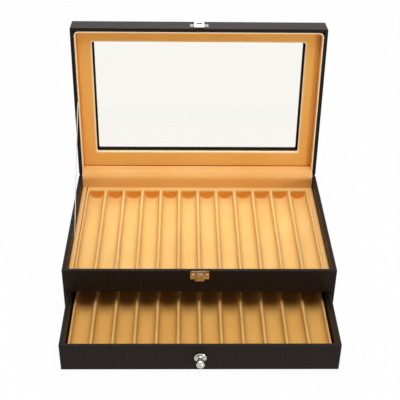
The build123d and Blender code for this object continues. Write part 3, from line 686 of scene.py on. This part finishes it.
class PENCHEST_OT_window_frame(bpy.types.Operator):
    """Wrap the frame inside the lid in velvet, drawn over the edges of its opening"""
    bl_idname = "penchest.window_frame"
    bl_label = "Velvet window frame"

    def execute(self, context):
        sizes = context.scene.chest_sizes
        low, high = lid_box("lined_frame", LID_CORNER)
        tape_high = lid_box("hinge_tape_lid", LID_CORNER)[1]
        face, back, edge = high.z, low.z, sizes.frame_edge
        # The frame shows inside the liner and the tape, each with a fine groove beside it.
        under_liner, groove, corner_r = 1.8 * MM, 0.3 * MM, 2.5 * MM
        half_w = high.x - under_liner
        behind, ahead = tape_high.y + groove, high.y - under_liner
        open_w = high.x - sizes.frame_side
        open_behind, open_ahead = low.y + sizes.frame_back, high.y - sizes.frame_front
        outer = round_rectangle(2 * half_w, ahead - behind, corner_r)
        inner = round_rectangle(2 * open_w, open_ahead - open_behind, corner_r)
        outer_mid, inner_mid = (ahead + behind) / 2, (open_ahead + open_behind) / 2
        bar, steps = half_w - open_w, 12
        # Rings, as share of the way to the opening, height, and how much painted highlight the
        # velvet gets.
        rings = [(0.0, back, 0.0), (0.0, face - edge, 0.0)]
        rings += [(edge / bar * inward, face - edge * down, 0.0)
                  for inward, down in quarter(4, 1)[:-1]]
        for i in range(steps + 1):
            share = (edge + (bar - 2 * edge) * i / steps) / bar
            crown = sizes.frame_crown * math.sin(math.pi * i / steps) ** 0.5
            rings.append((share, face + crown, 0.0 if i < steps else 0.5))
        # Painted highlight on the velvet's round into the opening.
        rings += [(1 - edge / bar * outward, face - edge * down, 1.0)
                  for down, outward in quarter(4, 1)]
        rings.append((1.0, back, 0.0))
        rows, folds = [], []
        for share, out, fold in rings:
            row = []
            for a, b in zip(outer, inner):
                p = a.lerp(b, share)
                along = p.y + outer_mid + (inner_mid - outer_mid) * share
                lift = stray((p.x, along, 0), 21, sizes.waviness, 35 * MM) if out > back else 0
                row.append(lid_point(p.x, along, out + lift))
                folds.append(fold)
            rows.append(row)
        faces = strips_between(rows, closed_rows=True, closed_round=True)
        piece = mesh_piece("lid_velvet_frame", [p for r in rows for p in r], faces,
                           glued_velvet(), fold=folds)
        keep_edges(piece, 50)
        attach(piece, "lid")
        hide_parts("lined_frame")
        return {"FINISHED"}


class PENCHEST_OT_lid_liner(bpy.types.Operator):
    """Bend the velvet liner round three sides of the lid, with its soft rolled lip"""
    bl_idname = "penchest.lid_liner"
    bl_label = "Velvet lid liner"

    def execute(self, context):
        sizes = context.scene.chest_sizes
        low_end, high_end = lid_box("lid_liner", LID_CORNER)
        half_w, thick = high_end.x, 2 * MM
        back, front = low_end.y, high_end.y
        inner_r = 4.5 * MM
        outer_r = inner_r + thick
        side_steps, corner_steps, front_steps = 30, 8, 48
        straight, reach = front - outer_r - back, half_w - outer_r
        # Half the path, from its hinged end to the front's middle, as place on the outer
        # face and the way to the inner face. The other half is its mirror image.
        half = [(Vector((-half_w, back + straight * i / side_steps)), Vector((1, 0)))
                for i in range(side_steps)]
        for inward, up in quarter(corner_steps):
            way = Vector((inward - 1, 1 - up))
            half.append((Vector((-reach, front - outer_r)) + way * outer_r, -way))
        half += [(Vector((-reach + 2 * reach * i / front_steps, front)), Vector((0, -1)))
                 for i in range(1, front_steps // 2 + 1)]
        flip = Vector((-1, 1))
        path = half + [(place * flip, way * flip) for place, way in reversed(half[:-1])]
        low, lip, r = low_end.z, high_end.z, sizes.liner_lip
        section = [(0.0, low), (0.0, (low + lip) / 2), (0.0, lip - r)]
        for i in range(1, 8):
            angle = math.pi * i / 8
            section.append((thick / 2 - thick / 2 * math.cos(angle),
                            lip - r + r * math.sin(angle)))
        section += [(thick, lip - r), (thick, lip - 1.5 * r),
                    (thick + 0.15 * MM, (low + lip) / 2), (thick, low)]
        rows, folds = [], []
        for place, way in path:
            row = []
            for across, out in section:
                p = place + way * across
                push = stray((p.x, p.y, out), 31, sizes.waviness, 30 * MM) if across else 0
                row.append(lid_point(p.x + way.x * push, p.y + way.y * push, out))
                # Painted highlight: the rolled lip is coloured paler all round.
                folds.append(1.0 if out >= lip - 1.01 * r else 0.0)
            rows.append(row)
        points = [p for row in rows for p in row]
        faces = strips_between(rows, closed_rows=True) + ends_of(points, len(section))
        piece = mesh_piece("lid_velvet_liner", points, faces, glued_velvet(), fold=folds)
        keep_edges(piece, 60)
        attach(piece, "lid")
        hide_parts("lid_liner")
        return {"FINISHED"}


class PENCHEST_OT_hinge_tape(bpy.types.Operator):
    """Stretch the velvet hinge tape from the case's back wall to the lid's"""
    bl_idname = "penchest.hinge_tape"
    bl_label = "Velvet hinge tape"

    def execute(self, context):
        sizes = context.scene.chest_sizes
        thick, across_steps = sizes.tape_thickness, 90
        hem_w, highlight_w = 0.8 * MM, 1.2 * MM
        ripple_height, ripple_length, ripple_reach = 0.5 * MM, 26 * MM, 7 * MM
        low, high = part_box("hinge_tape_case")
        lid_low, lid_high = lid_box("hinge_tape_lid", LID_CORNER)
        wall_y, lid_way = low.y + thick / 2, lid_high.y - thick / 2
        leaves_case = Vector((0, wall_y, high.z))
        meets_lid = lid_point(0, lid_way, lid_high.z)
        corners = [Vector((0, wall_y, low.z)), leaves_case, meets_lid,
                   lid_point(0, lid_way, lid_low.z)]
        line = [corners[0]]
        for before, corner, after in zip(corners, corners[1:], corners[2:]):
            into, out = (corner - before).normalized(), (after - corner).normalized()
            reach = sizes.tape_bend
            for i in range(9):
                t = i / 8
                a, b = corner - into * reach, corner + out * reach
                line.append(a * (1 - t) ** 2 + corner * 2 * t * (1 - t) + b * t * t)
        line.append(corners[-1])
        fine = finer(line, 1.5 * MM, int)
        half_w = (high.x - low.x) / 2
        across = [half_w * (1 - 2 * i / across_steps) for i in range(across_steps + 1)]
        hems = [half_w - step * MM for step in (0.3, 0.8, 1.3)]
        across = sorted(across + hems + [-x for x in hems], reverse=True)
        sides, folds, thins = [], [], []
        for side in (1, -1):
            rows = []
            for i, p in enumerate(fine):
                ahead = heading(fine, i)
                inner = Vector((0, -ahead.z, ahead.y))
                off_middle = (p - (leaves_case + meets_lid) / 2).length
                free = max(0.0, 1 - off_middle / ripple_reach)
                row = []
                for x in across:
                    # The ends are turned under, so they are thinner at the very edge.
                    hem = 1 - max(0.0, abs(x) - half_w + hem_w) / hem_w * 0.75
                    ripple = stray((x, p.y, p.z), 41, ripple_height, ripple_length) * free
                    row.append(Vector((x, p.y, p.z))
                               + inner * (side * thick / 2 * hem + ripple))
                    # Painted highlight along the tape's two edges.
                    folds.append(1.0 if abs(x) > half_w - highlight_w else 0.0)
                    # Painted shade: the tape's colour is painted deeper towards its foot on the
                    # case's wall.
                    thins.append(0.5 * min(1.0, (len(fine) - 1 - i) / (0.75 * len(fine))))
                rows.append(row)
            sides.append(rows)
        top, under = sides
        per_row = len(across)
        points = [p for rows in sides for row in rows for p in row]
        faces = strips_between(top)
        shift = len(top) * per_row
        faces += [tuple(i + shift for i in reversed(f)) for f in strips_between(under)]
        rim = grid_rim(per_row, len(top))
        for a, b in zip(rim, rim[1:] + rim[:1]):
            faces.append((a, b, b + shift, a + shift))
        piece = mesh_piece("velvet_hinge_tape", points, faces, glued_velvet("trim"),
                           fold=folds, thin=thins)
        keep_edges(piece, 60)
        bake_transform(piece)
        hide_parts("hinge_tape_case", "hinge_tape_lid")
        return {"FINISHED"}


class PENCHEST_OT_hinge_backing(bpy.types.Operator):
    """Carry the black covering over the joint, behind the velvet tape"""
    bl_idname = "penchest.hinge_backing"
    bl_label = "Hinge backing"

    def execute(self, context):
        low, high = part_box("case_back_wall")
        lid_high = lid_box("lid_back_wall", LID_CORNER)[1]
        thick, lift, half_w = 0.2 * MM, 0.12 * MM, high.x - 0.5 * MM
        inset, bulge = 0.3 * MM, 0.1 * MM
        leaves_case = Vector((0, high.y + bulge, high.z + lift))
        meets_lid = lid_point(0, -bulge, lid_high.z + lift)
        corners = [Vector((0, low.y + inset, high.z + lift)), leaves_case, meets_lid,
                   lid_point(0, lid_high.y - inset, lid_high.z + lift)]
        line = []
        for a, b in zip(corners, corners[1:]):
            line += [a.lerp(b, i / 6) for i in range(6)]
        line.append(corners[-1])
        sides = []
        for side in (1, -1):
            rows = []
            for i, p in enumerate(line):
                ahead = heading(line, i)
                normal = Vector((0, -ahead.z, ahead.y)) * side
                rows.append([Vector((half_w * (1 - j / 20), p.y, p.z)) + normal * thick / 2
                             for j in range(41)])
            sides.append(rows)
        top, under = sides
        loops = [a + b[::-1] for a, b in zip(top, under)]
        points = [p for row in loops for p in row]
        faces = strips_between(loops, closed_rows=True) + ends_of(points, len(loops[0]))
        piece = mesh_piece("leatherette_hinge_backing", points, faces,
                           bpy.data.materials["pvc_leatherette_embossed"])
        keep_edges(piece)
        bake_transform(piece)
        return {"FINISHED"}


class PENCHEST_OT_lid_stay(bpy.types.Operator):
    """Tie the lid to the case with the fine cord on the left"""
    bl_idname = "penchest.lid_stay"
    bl_label = "Lid stay cord"

    def execute(self, context):
        sizes = context.scene.chest_sizes
        thick = sizes.cord_thickness
        # It comes up between strip and wall, and goes in behind the lip of the lid's liner.
        # The foot and the head are the ends of the CAD cord.
        foot, head = Vector((-0.162, -0.015, 0.0604)), Vector((-0.1631, 0.11423, 0.18532))
        route = [Vector((-0.1622, -0.0161, 0.0592)), foot, foot.lerp(head, 0.5), head,
                 lid_point(-0.1626, 0.1105, -0.0006)]
        curve = bpy.data.curves.new("stay_route", "CURVE")
        curve.dimensions, curve.resolution_u = "3D", 24
        spline = curve.splines.new("NURBS")
        spline.points.add(len(route) - 1)
        for point, place in zip(spline.points, route):
            point.co = (*place, 1)
        spline.order_u, spline.use_endpoint_u = 3, True
        guide = bpy.data.objects.new("stay_route", curve)
        line = bpy.data.meshes.new_from_object(guide)
        path = [v.co.copy() for v in line.vertices]
        bpy.data.meshes.remove(line)
        bpy.data.curves.remove(curve)
        fine = finer(path, 0.5 * MM, round)
        rows, gone, sides = [], 0.0, 15
        for i, p in enumerate(fine):
            gone += (p - fine[i - 1]).length if i else 0.0
            ahead = heading(fine, i)
            side = ahead.cross(Vector((1, 0, 0))).normalized()
            over = ahead.cross(side)
            turn = 2 * math.pi * gone / sizes.cord_lay
            row = []
            for j in range(sides):
                angle = 2 * math.pi * j / sides
                strand = abs(math.cos(1.5 * (angle - turn)))
                radius = thick / 2 * (0.8 + 0.2 * strand)
                row.append(p + (side * math.cos(angle) + over * math.sin(angle)) * radius)
            rows.append(row)
        points = [p for row in rows for p in row]
        faces = strips_between(rows, closed_rows=True) + ends_of(points, sides)
        piece = mesh_piece("lid_stay_twisted_cord", points, faces, twisted_cord())
        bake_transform(piece)
        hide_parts("lid_stay_cord")
        return {"FINISHED"}


class PENCHEST_OT_glass(bpy.types.Operator):
    """Glaze the lid's window"""
    bl_idname = "penchest.glass"
    bl_label = "Window glass"

    def execute(self, context):
        dress(("window_glass",), float_glass())
        return {"FINISHED"}


class PENCHEST_OT_metalwork(bpy.types.Operator):
    """Plate the hinges, catch, hasp, knob and screws"""
    bl_idname = "penchest.metalwork"
    bl_label = "Nickel metalwork"

    def execute(self, context):
        dress(NICKEL, nickel_plate())
        return {"FINISHED"}


class PENCHEST_OT_papered_boards(bpy.types.Operator):
    """Face the hidden boards with black paper, and lay felt under the case"""
    bl_idname = "penchest.papered_boards"
    bl_label = "Papered boards and felt"

    def execute(self, context):
        colours = context.scene.chest_colours
        dress(PAPERED, matted("fibreboard_paper_faced", colours.paper, 0.9 * MM, 1.8, 0.6, 0.8))
        dress(("base_felt",), matted("wool_felt_pressed", colours.felt, 1.4 * MM, 2.2, 0.9, 1.0))
        return {"FINISHED"}


class PENCHEST_OT_stage(bpy.types.Operator):
    """Set up the floor, the soft lamps and the camera"""
    bl_idname = "penchest.stage"
    bl_label = "Studio stage"

    def execute(self, context):
        stage, colours = context.scene.chest_stage, context.scene.chest_colours
        self.floor(stage, colours)
        self.sky(stage)
        self.lamp("key_lamp", (0.0, -0.4, 1.9), (0, 0, 0.08), 1.2, stage.key_power)
        self.lamp("front_lamp", (1.3, -2.1, 0.28), (0, 0, 0.15), 0.5, stage.front_power)
        self.lamp("rear_lamp", (0.0, 1.6, 1.6), (0, 0, 0.2), 0.9, stage.rear_power)
        self.camera(stage)
        context.scene.view_settings.view_transform = "Standard"
        return {"FINISHED"}

    def seen_directly(self, tree):
        """1 for rays from the camera, a mirror or through glass, and 0 for the rest."""
        path = add(tree, "ShaderNodeLightPath").outputs
        mirror = sums(tree, "MAXIMUM", path["Is Camera Ray"], path["Is Glossy Ray"])
        return sums(tree, "MAXIMUM", mirror, path["Is Transmission Ray"])

    def floor(self, stage, colours):
        """A painted floor that keeps the chest's shadow and otherwise reads as white."""
        material, tree = empty_material("painted_studio_floor")
        roller = noise_at(tree, object_place(tree), 0.3, detail=2.0)
        tint = mixed_colour(tree, roller, solid(colours.floor), (1, 1, 1, 1))
        paint = add(tree, "ShaderNodeBsdfDiffuse", {"Color": tint})
        white = add(tree, "ShaderNodeEmission", {"Color": (1, 1, 1, 1), "Strength": 1.0})
        share = sums(tree, "MULTIPLY", self.seen_directly(tree), stage.floor_glow)
        surface(tree, add(tree, "ShaderNodeMixShader", {0: share, 1: paint.outputs[0],
                                                       2: white.outputs[0]}))
        shape = bmesh.new()
        bmesh.ops.create_grid(shape, x_segments=8, y_segments=8, size=stage.floor_size / 2)
        mesh = bpy.data.meshes.new("studio_floor")
        shape.to_mesh(mesh)
        shape.free()
        mesh.materials.append(material)
        floor = bpy.data.objects.new("studio_floor", mesh)
        bpy.context.scene.collection.objects.link(floor)

    def sky(self, stage):
        """White where it is seen, and a plain soft light for everything else."""
        world = bpy.data.worlds.new("studio_sky")
        world.use_nodes = True
        tree = world.node_tree
        tree.nodes.clear()
        soft = add(tree, "ShaderNodeBackground", {"Color": (1, 1, 1, 1),
                                                 "Strength": stage.sky_level})
        white = add(tree, "ShaderNodeBackground", {"Color": (1, 1, 1, 1), "Strength": 1.0})
        both = add(tree, "ShaderNodeMixShader", {0: self.seen_directly(tree),
                                                1: soft.outputs[0], 2: white.outputs[0]})
        surface(tree, both, "ShaderNodeOutputWorld")
        bpy.context.scene.world = world

    def lamp(self, name, place, aim, size, power):
        """A square soft box that faces a point."""
        data = bpy.data.lights.new(name, "AREA")
        data.shape, data.size, data.energy = "SQUARE", size, power
        lamp = bpy.data.objects.new(name, data)
        lamp.location = place
        way = Vector(aim) - Vector(place)
        lamp.rotation_euler = way.to_track_quat("-Z", "Y").to_euler()
        bpy.context.scene.collection.objects.link(lamp)

    def camera(self, stage):
        """The photograph's point of view."""
        yaw, pitch, roll = stage.camera_yaw, stage.camera_pitch, stage.camera_roll
        ahead = Vector((math.sin(yaw) * math.cos(pitch), math.cos(yaw) * math.cos(pitch),
                        -math.sin(pitch)))
        level = Vector((math.cos(yaw), -math.sin(yaw), 0))
        over = level.cross(ahead)
        right = level * math.cos(roll) + over * math.sin(roll)
        up = over * math.cos(roll) - level * math.sin(roll)
        data = bpy.data.cameras.new("photo_camera")
        data.sensor_width, data.lens = 36, stage.lens
        data.clip_start, data.clip_end = 0.05, 50
        camera = bpy.data.objects.new("photo_camera", data)
        turn = Matrix((right, up, -ahead)).transposed().to_4x4()
        camera.matrix_world = Matrix.Translation(Vector(stage.camera_place)) @ turn
        bpy.context.scene.collection.objects.link(camera)
        bpy.context.scene.camera = camera


STEPS = (
    PENCHEST_OT_boards, PENCHEST_OT_papered_boards, PENCHEST_OT_inserts,
    PENCHEST_OT_side_strips, PENCHEST_OT_window_frame, PENCHEST_OT_lid_liner,
    PENCHEST_OT_hinge_tape, PENCHEST_OT_hinge_backing, PENCHEST_OT_lid_stay,
    PENCHEST_OT_glass, PENCHEST_OT_metalwork, PENCHEST_OT_stage,
)


class PENCHEST_PT_panel(bpy.types.Panel):
    """Steps, sizes and colours of the pen chest"""
    bl_idname = "PENCHEST_PT_panel"
    bl_label = "Pen chest"
    bl_space_type = "VIEW_3D"
    bl_region_type = "UI"
    bl_category = "Pen chest"

    def draw(self, context):
        for step in STEPS:
            self.layout.operator(step.bl_idname)
        for group in ("chest_sizes", "chest_colours", "chest_stage"):
            values = getattr(context.scene, group)
            box = self.layout.box()
            for name in values.bl_rna.properties.keys():
                if name not in ("rna_type", "name"):
                    box.prop(values, name)


GROUPS = {"chest_sizes": ChestSizes, "chest_colours": ChestColours, "chest_stage": ChestStage}


def register():
    for group in GROUPS.values():
        bpy.utils.register_class(group)
    for name, group in GROUPS.items():
        setattr(bpy.types.Scene, name, PointerProperty(type=group))
    for step in STEPS + (PENCHEST_PT_panel,):
        bpy.utils.register_class(step)


def unregister():
    for step in reversed(STEPS + (PENCHEST_PT_panel,)):
        bpy.utils.unregister_class(step)
    for name in GROUPS:
        delattr(bpy.types.Scene, name)
    for group in reversed(GROUPS.values()):
        bpy.utils.unregister_class(group)


def main():
    """Dress the chest."""
    register()
    for step in STEPS:
        area, name = step.bl_idname.split(".")
        getattr(getattr(bpy.ops, area), name)()


if __name__ == "__main__":
    main()
